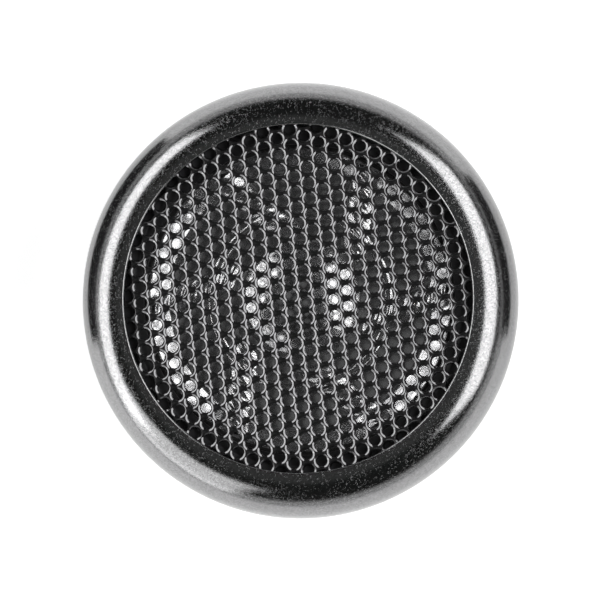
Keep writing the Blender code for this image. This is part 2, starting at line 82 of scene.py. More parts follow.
MM = 0.001
TINY = 1e-7
SHARP_EDGE = math.radians(35)
HOUSING = "tweeter"
COIL = "voice_coil"
WASHER = "clamp_washer"
NUT = "clamp_ring"


def radius_of(node):
    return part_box(node)[1][0]


def bottom_of(node):
    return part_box(node)[0][2]


def top_of(node):
    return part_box(node)[1][2]


# Sizes of the pieces, beside those that are read from the nodes' boxes where they are used
BEZEL_ROUND = 4.87 * MM
BEZEL_OPENING = 18.85 * MM
BEZEL_BORE = 19.75 * MM
BEZEL_LIP = 0.85 * MM
BEZEL_POCKET = 22.7 * MM
BARREL_RADIUS = 19.8 * MM
BARREL_BORE = 18.6 * MM
BARREL_FLOOR = 2.2 * MM
FLANGE_THICKNESS = 1.4 * MM
CLAMP_BORE = 20.1 * MM
GRILLE_RIM_INSIDE = 18.7 * MM
GRILLE_RISE = 1.0 * MM
GRILLE_SHEET = 0.5 * MM
DOME_RADIUS = 6.3 * MM
DOME_RISE = 1.8 * MM
FILM = 0.2 * MM
GRILLE_RADIUS = radius_of("grille")
GRILLE_BASE = bottom_of("grille")
SURROUND_INSIDE = radius_of("dome")
BAND_START = 14.3 * MM
BAND_END = 16.6 * MM
STEP_HEIGHT = 0.11 * MM
STEP_RISE = (9.3 * MM, 9.6 * MM)
STEP_FALL = (9.9 * MM, 10.2 * MM)
RIB_START = (7.3 * MM, 8.3 * MM)
RIB_END = (15.9 * MM, 16.5 * MM)
YOKE_BORE = 7.55 * MM
YOKE_FLOOR = 1.6 * MM
FORMER_BORE = 6.45 * MM
WINDING_BORE = 6.7 * MM
RIM_RING_BORE = 16.75 * MM
FOAM_BORE = 16.6 * MM
RETAINER_WALL = 1.2 * MM
RETAINER_TONGUE = 17.0 * MM
SOCKET_WALL = 0.9 * MM
BLADE_HOLE = 0.6 * MM
SCREW_HEAD_HEIGHT = 0.9 * MM
SCREW_SHAFT = 0.8 * MM
SCREW_ROOT = 0.6 * MM
SCREW_PITCH = 0.6 * MM
SCREW_CIRCLE = 14.4 * MM
SCREW_ANGLES = (90, 210, 330)
GAP = 0.3 * MM


# ---------------------------------------------------------------- settings


def length(name, description, default):
    return FloatProperty(
        name=name, description=description, default=default, min=0.0, unit="LENGTH", precision=5
    )


def factor(name, description, default):
    return FloatProperty(
        name=name, description=description, default=default, min=0.0, max=1.0, subtype="FACTOR"
    )


def angle(name, description, degrees):
    return FloatProperty(name=name, description=description, default=math.radians(degrees), subtype="ANGLE")


def colour(name, description, *default):
    return FloatVectorProperty(
        name=name, description=description, default=default, size=3, min=0.0, max=1.0, subtype="COLOR"
    )


class BezelSettings(bpy.types.PropertyGroup):
    finish: colour("Chrome", "Colour of the dark chrome", 0.235, 0.235, 0.237)
    roughness: factor("Roughness", "Blur of the chrome's reflections", 0.125)
    grain: length("Grain", "Size of the pearl grain in the chrome", 0.00013)
    edge: length("Edge", "Rounding of the lip", 0.00024)
    segments: IntProperty(name="Segments", description="Facets round the bezel", default=256, min=48)


class GrilleSettings(bpy.types.PropertyGroup):
    enamel: colour("Enamel", "Colour of the baked enamel", 0.13, 0.13, 0.132)
    pitch: length("Pitch", "Distance between neighbouring holes", 0.001724)
    mouth: length("Mouth", "Radius of a hole where its chamfer starts", 0.000835)
    neck: length("Neck", "Radius of a hole at its narrowest", 0.000545)
    chamfer: length("Chamfer", "Width of the chamfer round a hole", 0.00021)
    tilt: angle("Chamfer tilt", "Slope of the chamfer round a hole", 33)
    row: angle("Row angle", "Direction of a row of holes", -24.5)
    offset_x: FloatProperty(name="Offset X", description="One hole's X", default=0.00089, unit="LENGTH")
    offset_y: FloatProperty(name="Offset Y", description="One hole's Y", default=-0.00044, unit="LENGTH")


class DiaphragmSettings(bpy.types.PropertyGroup):
    film: colour("Film", "Colour of the metallised film", 0.80, 0.80, 0.81)
    roughness: factor("Roughness", "Blur of the film's reflections", 0.19)
    ribs: IntProperty(name="Ribs", description="Number of swirling ribs", default=6, min=0)
    rib_angle: angle("Rib angle", "Direction of the first rib's tangent point", 51.2)
    rib_offset: length("Rib offset", "Radius of the circle that the ribs are tangent to", 0.0050)
    rib_width: length("Rib width", "Full width of a rib", 0.0030)
    rib_height: length("Rib height", "Height of a rib", 0.00042)
    ripple: length("Ripple", "Length of the ripples along a rib", 0.00115)


class BarrelSettings(bpy.types.PropertyGroup):
    plastic: colour("Plastic", "Colour of the moulded plastic", 0.022, 0.022, 0.023)
    thread_pitch: length("Thread pitch", "Rise of the thread in one turn", 0.0025)
    thread_depth: length("Thread depth", "Depth of the thread", 0.00065)


class ClampSettings(bpy.types.PropertyGroup):
    plastic: colour("Plastic", "Colour of the clamp nut", 0.026, 0.026, 0.027)
    flutes: IntProperty(name="Flutes", description="Finger flutes round the nut", default=12, min=0)
    flute_radius: length("Flute radius", "Radius of a finger flute", 0.0014)


class StageSettings(bpy.types.PropertyGroup):
    floor: colour("Floor", "Colour of the floor", 0.86, 0.86, 0.86)
    floor_glow: factor("Floor glow", "Light that the floor gives off by itself", 0.70)
    sky_low: factor("Low sky", "Brightness of the room near the floor", 0.85)
    sky_high: factor("High sky", "Brightness of the room above the softboxes' feet", 0.03)
    sky_top: factor("Top sky", "Brightness of the room straight overhead", 0.11)
    lens: FloatProperty(name="Lens", description="Focal length", default=150.0, min=10.0, unit="CAMERA")
    lean_x: angle("Lean to +X", "Lean of the camera from straight above", 2.95)
    lean_y: angle("Lean to -Y", "Lean of the camera from straight above", 2.6)
    frame_width: length("Frame width", "Width of the view at the tweeter", 0.066)


# ---------------------------------------------------------------- mesh helpers


def eased(corners, radius, steps=3):
    """A closed section of (radius, height) corners with each corner rounded. On the axis it stays sharp."""
    points = []
    for before, corner, after in zip(corners[-1:] + corners[:-1], corners, corners[1:] + corners[:1]):
        if corner[0] < TINY:
            points.append(corner)
            continue
        middle = Vector(corner)
        back = Vector(before) - middle
        ahead = Vector(after) - middle
        start = middle + back.normalized() * min(radius, back.length * 0.45)
        end = middle + ahead.normalized() * min(radius, ahead.length * 0.45)
        for step in range(steps + 1):
            t = step / steps
            points.append(tuple(start * (1 - t) ** 2 + middle * 2 * t * (1 - t) + end * t**2))
    return points


def arc(centre, radius, start, end, steps):
    """Points on an arc of a section, from one angle to another in degrees."""
    points = []
    for step in range(steps + 1):
        turn = math.radians(start + (end - start) * step / steps)
        points.append((centre[0] + radius * math.cos(turn), centre[1] + radius * math.sin(turn)))
    return points


def cap_height(radius, rise, at):
    """Height above its edge of a spherical cap of that edge radius and rise."""
    sphere = (radius * radius + rise * rise) / (2 * rise)
    return math.sqrt(sphere * sphere - at * at) - (sphere - rise)


def smooth(value, low, high):
    """0 below low, 1 above high, with a smooth step between them."""
    t = min(1.0, max(0.0, (value - low) / (high - low)))
    return t * t * (3 - 2 * t)


def shade(mesh):
    mesh.shade_smooth()
    mesh.set_sharp_from_angle(angle=SHARP_EDGE)


def link(name, mesh):
    shade(mesh)
    piece = bpy.data.objects.new(name, mesh)
    bpy.context.scene.collection.objects.link(piece)
    return piece


def mesh_of(name, points, faces):
    mesh = bpy.data.meshes.new(name)
    mesh.from_pydata(points, [], faces)
    mesh.update()
    return mesh


def revolve(name, outline, segments, shape=None, centre=(0.0, 0.0)):
    """Turns a closed section about an upright axis. shape(radius, height, angle) may move each point."""
    around = zip(outline, outline[1:] + outline[:1])
    area = sum(start[0] * end[1] - end[0] * start[1] for start, end in around)
    if area < 0:
        outline = outline[::-1]
    points = []
    rows = []
    for radius, height in outline:
        if radius < TINY:
            rows.append([len(points)] * segments)
            points.append((centre[0], centre[1], height))
            continue
        rows.append(range(len(points), len(points) + segments))
        for segment in range(segments):
            turn = math.tau * segment / segments
            r, z = shape(radius, height, turn) if shape else (radius, height)
            points.append((centre[0] + r * math.cos(turn), centre[1] + r * math.sin(turn), z))
    faces = []
    for row, above in zip(rows, rows[1:] + rows[:1]):
        for segment in range(segments):
            after = (segment + 1) % segments
            corners = [row[segment], row[after], above[after], above[segment]]
            corners = list(dict.fromkeys(corners))
            if len(corners) > 2:
                faces.append(corners)
    return link(name, mesh_of(name, points, faces))


def box_mesh(name, low, high, bevel, segments=2):
    """A box with rounded edges."""
    bm = bmesh.new()
    size = Vector(high) - Vector(low)
    middle = (Vector(high) + Vector(low)) / 2
    place = Matrix.Translation(middle) @ Matrix.Diagonal((*size, 1.0))
    bmesh.ops.create_cube(bm, size=1.0, matrix=place)
    bmesh.ops.bevel(bm, geom=bm.edges[:], offset=bevel, segments=segments, affect="EDGES", profile=0.5)
    mesh = bpy.data.meshes.new(name)
    bm.to_mesh(mesh)
    bm.free()
    return link(name, mesh)


def cut(piece, cutter):
    """Cuts a shape out of a piece, applies the result and removes the cutter."""
    modifier = piece.modifiers.new("cut", "BOOLEAN")
    modifier.operation = "DIFFERENCE"
    modifier.solver = "EXACT"
    modifier.object = cutter
    bpy.context.view_layer.update()
    graph = bpy.context.evaluated_depsgraph_get()
    result = bpy.data.meshes.new_from_object(piece.evaluated_get(graph))
    piece.modifiers.clear()
    piece.data = result
    result.name = piece.name
    shade(result)
    bpy.data.objects.remove(cutter, do_unlink=True)
    if not len(result.polygons):
        raise RuntimeError("the cut left nothing of " + piece.name)


def dress(piece, material, body, slot, *nodes):
    """Gives a piece its material and its body, and hides the CAD nodes that it stands for. The slot is not
    used.
    """
    piece.data.materials.clear()
    piece.data.materials.append(material)
    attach(piece, body)
    if nodes:
        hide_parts(*nodes)
    return piece


def dress_node(node, material):
    """Gives a carried-over CAD node its material."""
    mesh_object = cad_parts[node]
    mesh_object.data.materials.clear()
    mesh_object.data.materials.append(material)


# ---------------------------------------------------------------- shader groups


def new_group(name, inputs, outputs):
    group = bpy.data.node_groups.new(name, "ShaderNodeTree")
    for socket_name, kind, default in inputs:
        socket = group.interface.new_socket(socket_name, in_out="INPUT", socket_type=kind)
        socket.default_value = default
    for socket_name, kind in outputs:
        group.interface.new_socket(socket_name, in_out="OUTPUT", socket_type=kind)
    return group, group.nodes.new("NodeGroupInput"), group.nodes.new("NodeGroupOutput")


def math_node(tree, operation, first, second):
    node = tree.nodes.new("ShaderNodeMath")
    node.operation = operation
    for socket, value in zip(node.inputs, (first, second)):
        if isinstance(value, (int, float)):
            socket.default_value = value
        else:
            tree.links.new(value, socket)
    return node.outputs[0]


def noise_node(tree, vector, scale, detail):
    """Noise over a vector, from 0 to 1."""
    node = tree.nodes.new("ShaderNodeTexNoise")
    node.inputs["Detail"].default_value = detail
    tree.links.new(vector, node.inputs["Vector"])
    tree.links.new(scale, node.inputs["Scale"])
    return node.outputs["Fac"]


def grain_group():
    """Fine noise of a given size, as a height and as a slow drift from 0 to 1."""
    group, inward, outward = new_group(
        "Fine Grain",
        (("Size", "NodeSocketFloat", 0.0002), ("Stretch", "NodeSocketVector", (1.0, 1.0, 1.0))),
        (("Height", "NodeSocketFloat"), ("Drift", "NodeSocketFloat")),
    )
    place = group.nodes.new("ShaderNodeTexCoord")
    stretched = group.nodes.new("ShaderNodeVectorMath")
    stretched.operation = "MULTIPLY"
    group.links.new(place.outputs["Object"], stretched.inputs[0])
    group.links.new(inward.outputs["Stretch"], stretched.inputs[1])
    for name, scale, detail in (("Height", 1.0, 3.0), ("Drift", 0.04, 2.0)):
        per_metre = math_node(group, "DIVIDE", scale, inward.outputs["Size"])
        group.links.new(noise_node(group, stretched.outputs[0], per_metre, detail), outward.inputs[name])
    return group


def flake_group():
    """Small flakes: a random value in each cell, and a height that tilts each flake its own way."""
    group, inward, outward = new_group(
        "Pearl Flake",
        (("Size", "NodeSocketFloat", 0.0002),),
        (("Value", "NodeSocketFloat"), ("Height", "NodeSocketFloat")),
    )
    place = group.nodes.new("ShaderNodeTexCoord")
    cells = group.nodes.new("ShaderNodeTexVoronoi")
    cells.inputs["Randomness"].default_value = 1.0
    group.links.new(place.outputs["Object"], cells.inputs["Vector"])
    group.links.new(math_node(group, "DIVIDE", 1.0, inward.outputs["Size"]), cells.inputs["Scale"])
    split = group.nodes.new("ShaderNodeSeparateColor")
    group.links.new(cells.outputs["Color"], split.inputs["Color"])
    group.links.new(split.outputs["Red"], outward.inputs["Value"])
    steep = math_node(group, "POWER", split.outputs["Green"], 12.0)
    tilt = math_node(group, "ADD", split.outputs["Green"], math_node(group, "MULTIPLY", steep, 4.0))
    height = math_node(group, "MULTIPLY", cells.outputs["Distance"], tilt)
    group.links.new(height, outward.inputs["Height"])
    return group


def turning_group():
    """Fine rings round the Z axis, as a lathe or a polished mould leaves them."""
    group, inward, outward = new_group(
        "Turning Marks",
        (("Spacing", "NodeSocketFloat", 0.0002),),
        (("Height", "NodeSocketFloat"),),
    )
    place = group.nodes.new("ShaderNodeTexCoord")
    parts = group.nodes.new("ShaderNodeSeparateXYZ")
    group.links.new(place.outputs["Object"], parts.inputs[0])
    flat = group.nodes.new("ShaderNodeCombineXYZ")
    group.links.new(parts.outputs["X"], flat.inputs["X"])
    group.links.new(parts.outputs["Y"], flat.inputs["Y"])
    radius = group.nodes.new("ShaderNodeVectorMath")
    radius.operation = "LENGTH"
    group.links.new(flat.outputs[0], radius.inputs[0])
    along = math_node(group, "ADD", radius.outputs["Value"], parts.outputs["Z"])
    rings = group.nodes.new("ShaderNodeTexNoise")
    rings.noise_dimensions = "1D"
    rings.inputs["Detail"].default_value = 2.0
    rings.inputs["Scale"].default_value = 1.0
    group.links.new(math_node(group, "DIVIDE", along, inward.outputs["Spacing"]), rings.inputs["W"])
    group.links.new(rings.outputs["Fac"], outward.inputs["Height"])
    return group


def tone_group():
    """A colour that varies between a darker and a lighter tone by a mask."""
    group, inward, outward = new_group(
        "Tone",
        (
            ("Colour", "NodeSocketColor", (0.5, 0.5, 0.5, 1.0)),
            ("Mask", "NodeSocketFloat", 0.5),
            ("Variation", "NodeSocketFloat", 0.1),
        ),
        (("Colour", "NodeSocketColor"),),
    )
    centred = math_node(group, "SUBTRACT", inward.outputs["Mask"], 0.5)
    swing = math_node(group, "MULTIPLY", centred, inward.outputs["Variation"])
    gain = math_node(group, "ADD", swing, 1.0)
    scale = group.nodes.new("ShaderNodeVectorMath")
    scale.operation = "SCALE"
    group.links.new(inward.outputs["Colour"], scale.inputs[0])
    group.links.new(gain, scale.inputs["Scale"])
    group.links.new(scale.outputs[0], outward.inputs["Colour"])
    return group


GROUP_MAKERS = {
    "Fine Grain": grain_group,
    "Pearl Flake": flake_group,
    "Turning Marks": turning_group,
    "Tone": tone_group,
}


class Finish:
    """A material while it is being put together."""

    def __init__(self, name, base, roughness, metallic=0.0, **more):
        self.material = bpy.data.materials.new(name)
        self.material.use_nodes = True
        self.tree = self.material.node_tree
        self.shader = self.tree.nodes["Principled BSDF"]
        self.base = tuple(base)
        self.roughness = roughness
        self.material.diffuse_color = (*self.base, 1.0)
        self.shader.inputs["Roughness"].default_value = roughness
        self.shader.inputs["Metallic"].default_value = metallic
        for socket, value in more.items():
            self.shader.inputs[socket.replace("_", " ")].default_value = value

    def group(self, name, **values):
        node = self.tree.nodes.new("ShaderNodeGroup")
        node.node_tree = bpy.data.node_groups.get(name) or GROUP_MAKERS[name]()
        for socket, value in values.items():
            self.feed(node.inputs[socket], value)
        return node

    def feed(self, socket, value):
        if isinstance(value, bpy.types.NodeSocket):
            self.tree.links.new(value, socket)
        else:
            socket.default_value = value

    def tone(self, mask, variation):
        """Varies the base colour by a mask."""
        node = self.group("Tone", Colour=(*self.base, 1.0), Mask=mask, Variation=variation)
        self.tree.links.new(node.outputs["Colour"], self.shader.inputs["Base Color"])

    def blur(self, mask, variation):
        """Varies the roughness by a mask."""
        swing = math_node(self.tree, "MULTIPLY", mask, variation)
        centred = math_node(self.tree, "ADD", swing, self.roughness - variation / 2)
        self.tree.links.new(centred, self.shader.inputs["Roughness"])

    def bump(self, height, depth, under=None):
        """Raises the surface by a height from 0 to 1, times depth in metres."""
        node = self.tree.nodes.new("ShaderNodeBump")
        node.inputs["Distance"].default_value = depth
        self.tree.links.new(height, node.inputs["Height"])
        if under:
            self.tree.links.new(under, node.inputs["Normal"])
        self.tree.links.new(node.outputs["Normal"], self.shader.inputs["Normal"])
        return node.outputs["Normal"]

    def grained(self, size, variation, blur, depth):
        """One fine grain that varies the colour and the roughness and raises the surface."""
        grain = self.group("Fine Grain", Size=size)
        self.tone(grain.outputs["Drift"], variation)
        if blur:
            self.blur(grain.outputs["Drift"], blur)
        self.bump(grain.outputs["Height"], depth)
        return self.material


def cached(maker):
    """Keeps one material for each maker and its values."""
    made = {}

    def keep(*values):
        key = tuple(tuple(value) if hasattr(value, "__len__") else value for value in values)
        if key not in made:
            made[key] = maker(*values)
        return made[key]

    return keep


@cached
def pearl_chrome(base, roughness, size):
    finish = Finish("pearl_chrome", base, roughness, 1.0)
    flakes = finish.group("Pearl Flake", Size=size)
    grain = finish.group("Fine Grain", Size=size * 0.7)
    finish.tone(flakes.outputs["Value"], 0.35)
    finish.blur(flakes.outputs["Value"], 0.10)
    under = finish.bump(grain.outputs["Height"], size * 0.04)
    finish.bump(flakes.outputs["Height"], size * 0.015, under)
    return finish.material


@cached
def black_enamel(base):
    return Finish("black_enamel", base, 0.11, 0.95).grained(
        size=0.12 * MM, variation=0.25, blur=0.08, depth=0.003 * MM
    )


@cached
def metallised_film(base, roughness):
    return Finish("metallised_film", base, roughness, 1.0).grained(
        size=0.9 * MM, variation=0.12, blur=0.05, depth=0.02 * MM
    )


@cached
def moulded_plastic(name, base, roughness):
    return Finish(name, base, roughness).grained(
        size=0.28 * MM, variation=0.25, blur=0.12, depth=0.022 * MM
    )


@cached
def turned_metal(name, base, roughness):
    finish = Finish(name, base, roughness, 1.0)
    marks = finish.group("Turning Marks", Spacing=0.12 * MM)
    grain = finish.group("Fine Grain", Size=0.3 * MM)
    finish.tone(grain.outputs["Drift"], 0.18)
    finish.blur(grain.outputs["Drift"], 0.14)
    under = finish.bump(marks.outputs["Height"], 0.005 * MM)
    finish.bump(grain.outputs["Height"], 0.003 * MM, under)
    return finish.material


@cached
def cellular_foam(base):
    finish = Finish("cellular_foam", base, 0.95, Sheen_Weight=0.15)
    cells = finish.group("Pearl Flake", Size=0.35 * MM)
    grain = finish.group("Fine Grain", Size=0.2 * MM)
    finish.tone(cells.outputs["Value"], 0.7)
    under = finish.bump(cells.outputs["Height"], 0.12 * MM)
    finish.bump(grain.outputs["Height"], 0.05 * MM, under)
    return finish.material


@cached
def pressed_felt(base):
    finish = Finish("pressed_felt", base, 0.95, Sheen_Weight=0.4)
    fibres = finish.group("Fine Grain", Size=0.22 * MM, Stretch=(1.0, 0.18, 1.0))
    across = finish.group("Fine Grain", Size=0.22 * MM, Stretch=(0.18, 1.0, 1.0))
    finish.tone(fibres.outputs["Height"], 0.6)
    under = finish.bump(fibres.outputs["Height"], 0.08 * MM)
    finish.bump(across.outputs["Height"], 0.08 * MM, under)
    return finish.material


@cached
def wound_copper(base):
    finish = Finish("wound_copper", base, 0.28, 1.0, Coat_Weight=0.5)
    grain = finish.group("Fine Grain", Size=0.2 * MM, Stretch=(1.0, 1.0, 6.0))
    finish.tone(grain.outputs["Height"], 0.3)
    finish.bump(grain.outputs["Height"], 0.006 * MM)
    return finish.material


@cached
def amber_film(base):
    return Finish("amber_film", base, 0.28, Coat_Weight=0.3).grained(
        size=0.4 * MM, variation=0.3, blur=0.0, depth=0.004 * MM
    )


@cached
def wire_sleeve(name, base):
    return Finish(name, base, 0.42).grained(
        size=0.25 * MM, variation=0.3, blur=0.12, depth=0.008 * MM
    )


STEEL = (0.60, 0.61, 0.63)
NICKEL = (0.72, 0.70, 0.66)
TINNED = (0.76, 0.73, 0.62)
COPPER = (0.72, 0.33, 0.18)
FOAM = (0.03, 0.03, 0.03)


# ---------------------------------------------------------------- bezel


def make_bezel(settings):
    """The rounded chrome ring, its lip over the grille and the pocket over the barrel's flange."""
    outer = radius_of("bezel_ring")
    bottom = bottom_of("bezel_ring")
    top = top_of("bezel_ring")
    pocket_top = top_of("threaded_barrel") + GAP
    edge = settings.edge
    heel = 0.35 * MM
    outline = [(BEZEL_POCKET, bottom), (outer - heel, bottom)]
    outline += arc((outer - heel, bottom + heel), heel, -80, 0, 5)
    outline += arc((outer - BEZEL_ROUND, top - BEZEL_ROUND), BEZEL_ROUND, 4, 90, 40)
    outline += arc((BEZEL_OPENING + edge, top - edge), edge, 97, 180, 7)
    outline += [
        (BEZEL_OPENING, top - BEZEL_LIP + edge / 2),
        (BEZEL_OPENING + edge / 2, top - BEZEL_LIP),
        (BEZEL_BORE, top - BEZEL_LIP),
        (BEZEL_BORE, pocket_top),
        (BEZEL_POCKET, pocket_top),
    ]
    piece = revolve("bezel_shell", outline, settings.segments)
    material = pearl_chrome(settings.finish, settings.roughness, settings.grain)
    return dress(piece, material, HOUSING, "bezel", "bezel_ring")


# ---------------------------------------------------------------- grille


def hole_rings(settings):
    """A hole's rings as (radius, depth), from the web down. A radius of None is the cell's own edge."""
    slope = math.tan(settings.tilt)
    lead = 0.12 * settings.chamfer
    chamfer_end = settings.mouth - settings.chamfer
    depth = settings.chamfer * slope
    inner = chamfer_end - settings.neck
    return [
        (None, 0.0),
        (settings.mouth + lead, 0.0),
        (settings.mouth - lead, lead * slope),
        (chamfer_end + lead, depth - lead * slope),
        (chamfer_end, depth),
        (settings.neck + 0.30 * inner, depth + 1.1 * inner),
        (settings.neck, depth + 2.6 * inner),
        (settings.neck + 0.02 * MM, GRILLE_SHEET),
        (None, GRILLE_SHEET),
    ]


def hexagon_points(pitch, row, count):
    """Points round a cell's edge, at even angles, so that neighbouring cells share them."""
    points = []
    sector = math.pi / 3
    for number in range(count):
        turn = math.tau * number / count
        from_flat = (turn + sector / 2) % sector - sector / 2
        reach = pitch / 2 / math.cos(from_flat)
        points.append((reach * math.cos(turn + row), reach * math.sin(turn + row)))
    return points


def hole_centres(settings, furthest):
    """The centres of the holes, in rows that are 60 degrees apart."""
    across, along = settings.row, settings.row + math.pi / 3
    reach = math.ceil(furthest / settings.pitch) + 2
    for i in range(-reach, reach + 1):
        for j in range(-reach, reach + 1):
            x = settings.offset_x + settings.pitch * (i * math.cos(across) + j * math.cos(along))
            y = settings.offset_y + settings.pitch * (i * math.sin(across) + j * math.sin(along))
            if math.hypot(x, y) <= furthest:
                yield x, y


def bowed(x, y, depth, on_rim):
    """A point of the flat sheet, drawn in under the bezel's lip and lifted onto the dome."""
    hidden = BEZEL_OPENING + 0.02 * MM
    squeeze = GRILLE_RADIUS - hidden
    radius = max(math.hypot(x, y), TINY)
    target = radius
    if radius > hidden:
        target = hidden + squeeze * (1 - math.exp((hidden - radius) / squeeze))
    if on_rim:
        target = GRILLE_RADIUS
    bow = cap_height(GRILLE_RIM_INSIDE, GRILLE_RISE, min(target, GRILLE_RIM_INSIDE))
    return x * target / radius, y * target / radius, GRILLE_BASE + GRILLE_SHEET + bow - depth


def make_grille(settings):
    """The enamelled sheet with its rows of round, chamfered holes, bowed into a shallow dome."""
    around = 24
    edge = hexagon_points(settings.pitch, settings.row, around)
    turns = [settings.row + math.tau * number / around for number in range(around)]
    rings = hole_rings(settings)
    points = []
    shared = {}
    faces = []
    rim_edges = {}

    def add_point(x, y, depth, key=None):
        """Adds a point, or finds the one that a neighbouring cell has put there."""
        if key in shared:
            return shared[key]
        points.append((x, y, depth))
        if key:
            shared[key] = len(points) - 1
        return len(points) - 1

    for x, y in hole_centres(settings, BEZEL_OPENING + settings.mouth):
        loops = []
        for radius, depth in rings:
            if radius is None:
                corners = [(x + across, y + up) for across, up in edge]
                keys = [(round(px * 1e6), round(py * 1e6), depth > 0) for px, py in corners]
                loops.append([add_point(*corner, depth, key) for corner, key in zip(corners, keys)])
            else:
                ring = [(x + radius * math.cos(turn), y + radius * math.sin(turn)) for turn in turns]
                loops.append([add_point(*corner, depth) for corner in ring])
        for start in range(around):
            end = (start + 1) % around
            for upper, lower in zip(loops, loops[1:]):
                faces.append((upper[start], upper[end], lower[end], lower[start]))
            top_edge = (loops[0][start], loops[0][end])
            if rim_edges.pop(top_edge[::-1], None) is None:
                rim_edges[top_edge] = (loops[-1][start], loops[-1][end])

    on_rim = set()
    for top_edge, bottom_edge in rim_edges.items():
        faces.append((top_edge[0], bottom_edge[0], bottom_edge[1], top_edge[1]))
        on_rim.update(top_edge + bottom_edge)
    placed = [bowed(*point, number in on_rim) for number, point in enumerate(points)]
    piece = link("grille_mesh", mesh_of("grille_mesh", placed, faces))
    return dress(piece, black_enamel(settings.enamel), HOUSING, "grille", "grille")


# ---------------------------------------------------------------- diaphragm


def rib_height(settings, x, y):
    """Height of the swirling ribs over the flat film at a point."""
    radius = math.hypot(x, y)
    fade = smooth(radius, *RIB_START) * (1 - smooth(radius, *RIB_END))
    if not fade:
        return 0.0
    highest = 0.0
    half = settings.rib_width / 2
    for number in range(settings.ribs):
        turn = settings.rib_angle + math.tau * number / settings.ribs
        across = x * math.cos(turn) + y * math.sin(turn) - settings.rib_offset
        along = y * math.cos(turn) - x * math.sin(turn)
        if along < 0 or abs(across) > half:
            continue
        crown = math.cos(math.pi / 2 * across / half) ** 1.5
        ripple = math.sin(math.tau * (along + 0.7 * across) / settings.ripple)
        highest = max(highest, settings.rib_height * crown * (1 + 0.16 * ripple))
    return highest * fade


def make_surround(settings):
    """The ribbed part of the diaphragm, flat by the dome and turned up at its rim."""
    low = bottom_of("surround")
    rim = radius_of("surround")
    rise = top_of("surround") - FILM - low
    steps = 84

    def profile(radius):
        """Height of the plain film: a low step, then the turned-up band out to its flat rim."""
        band = min(1.0, max(0.0, (radius - BAND_START) / (BAND_END - BAND_START)))
        ease = 0.10
        ramp = max(0.0, band - ease / 2) if band > ease else band * band / (2 * ease)
        lift = rise / (1 - ease / 2) * ramp
        return lift + STEP_HEIGHT * (smooth(radius, *STEP_RISE) - smooth(radius, *STEP_FALL))

    def shape(radius, height, turn):
        x, y = radius * math.cos(turn), radius * math.sin(turn)
        return radius, low + height + profile(radius) + rib_height(settings, x, y)

    radii = [SURROUND_INSIDE + (rim - SURROUND_INSIDE) * step / steps for step in range(steps + 1)]
    outline = [(radius, 0.0) for radius in radii]
    outline += [(radius, FILM) for radius in reversed(radii)]
    piece = revolve("surround_film", outline, 560, shape)
    material = metallised_film(settings.film, settings.roughness)
    piece.data.materials.append(material)
    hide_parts("surround")
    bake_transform(piece)


def make_dome(settings):
    """The dome of the diaphragm, with a soft fillet down to its glued skirt."""
    low = bottom_of("dome")
    skirt = radius_of("dome")
    fillet = 0.18 * MM
    steps = 36

    def height_at(radius):
        if radius < DOME_RADIUS:
            cap = cap_height(DOME_RADIUS, DOME_RISE, radius)
            return math.hypot(cap, fillet) - fillet * (1 - cap / DOME_RISE) * 0.5
        return fillet / 2 * (1 - smooth(radius, DOME_RADIUS, DOME_RADIUS + 0.3 * MM))

    radii = [skirt * (1 - step / steps) for step in range(steps)] + [0.0]
    outline = [(radius, low + FILM + height_at(radius)) for radius in radii]
    outline += [(radius, low + height_at(radius)) for radius in reversed(radii)]
    highest = max(height for _, height in outline)
    excess = max(0.0, highest - top_of("dome"))
    outline = [(radius, height - excess * smooth(-radius, -DOME_RADIUS, 0.0)) for radius, height in outline]
    piece = revolve("dome_film", outline, 192)
    return dress(piece, metallised_film(settings.film, settings.roughness), COIL, "film", "dome")


# ---------------------------------------------------------------- barrel and clamp


def thread_wave(height, turn, pitch):
    """A rounded thread's height from 0 at its root to 1 at its crest, both of them a little flat."""
    flat = 0.12
    phase = (height / pitch - turn / math.tau) % 1.0
    wave = 0.5 + 0.5 * math.cos(math.tau * phase)
    return smooth(wave, flat, 1 - flat)


